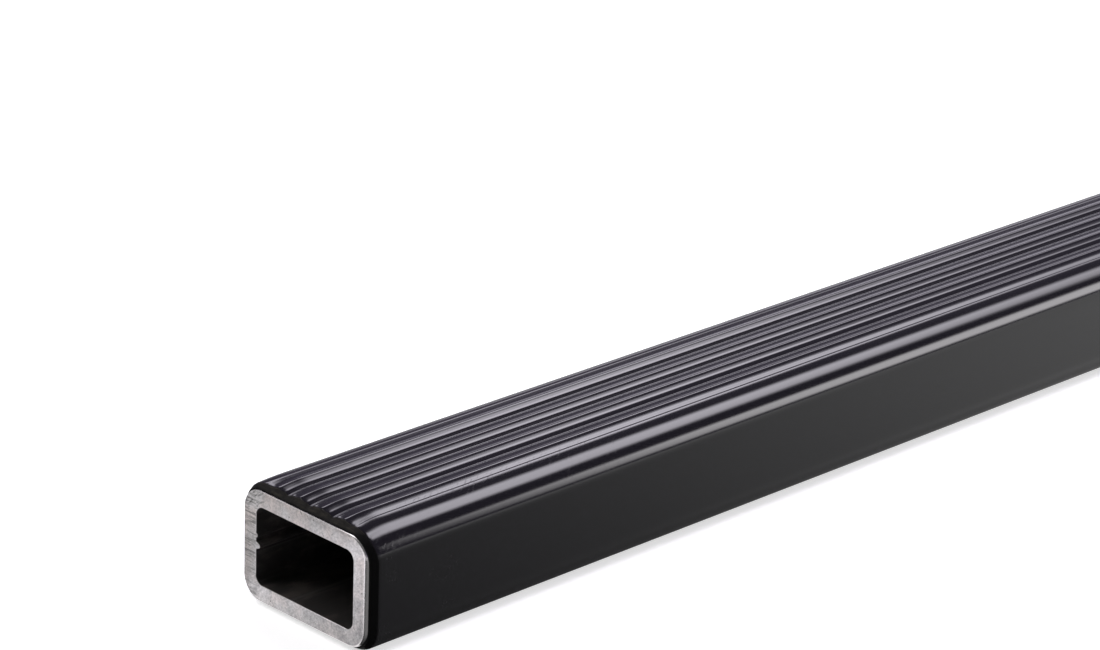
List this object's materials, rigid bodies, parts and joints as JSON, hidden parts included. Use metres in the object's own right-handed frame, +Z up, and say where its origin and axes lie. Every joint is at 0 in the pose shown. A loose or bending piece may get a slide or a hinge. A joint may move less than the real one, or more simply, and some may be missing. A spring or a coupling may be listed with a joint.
{
  "type": "roof rack crossbar",
  "caption": "Rectangular steel roof rack crossbar in a black plastic jacket with lengthwise ribs on top and open, bare-cut tube ends.",
  "frame": {"origin": "middle of the bar's length and width, on the flat underside of the jacket", "axes": "+X along the bar with the pictured end at -X, +Y across it towards the wall with the weld flash, +Z up through the ribbed top"},
  "size_m": [1.2, 0.032, 0.0226],
  "materials": {
    "cut_steel": "saw-cut, satin",
    "black_jacket": "semi-gloss black, extruded"
  },
  "bodies": {
    "root": {"steel_tube": "cut_steel", "ribbed_jacket": "black_jacket"}
  },
  "joints": []
}
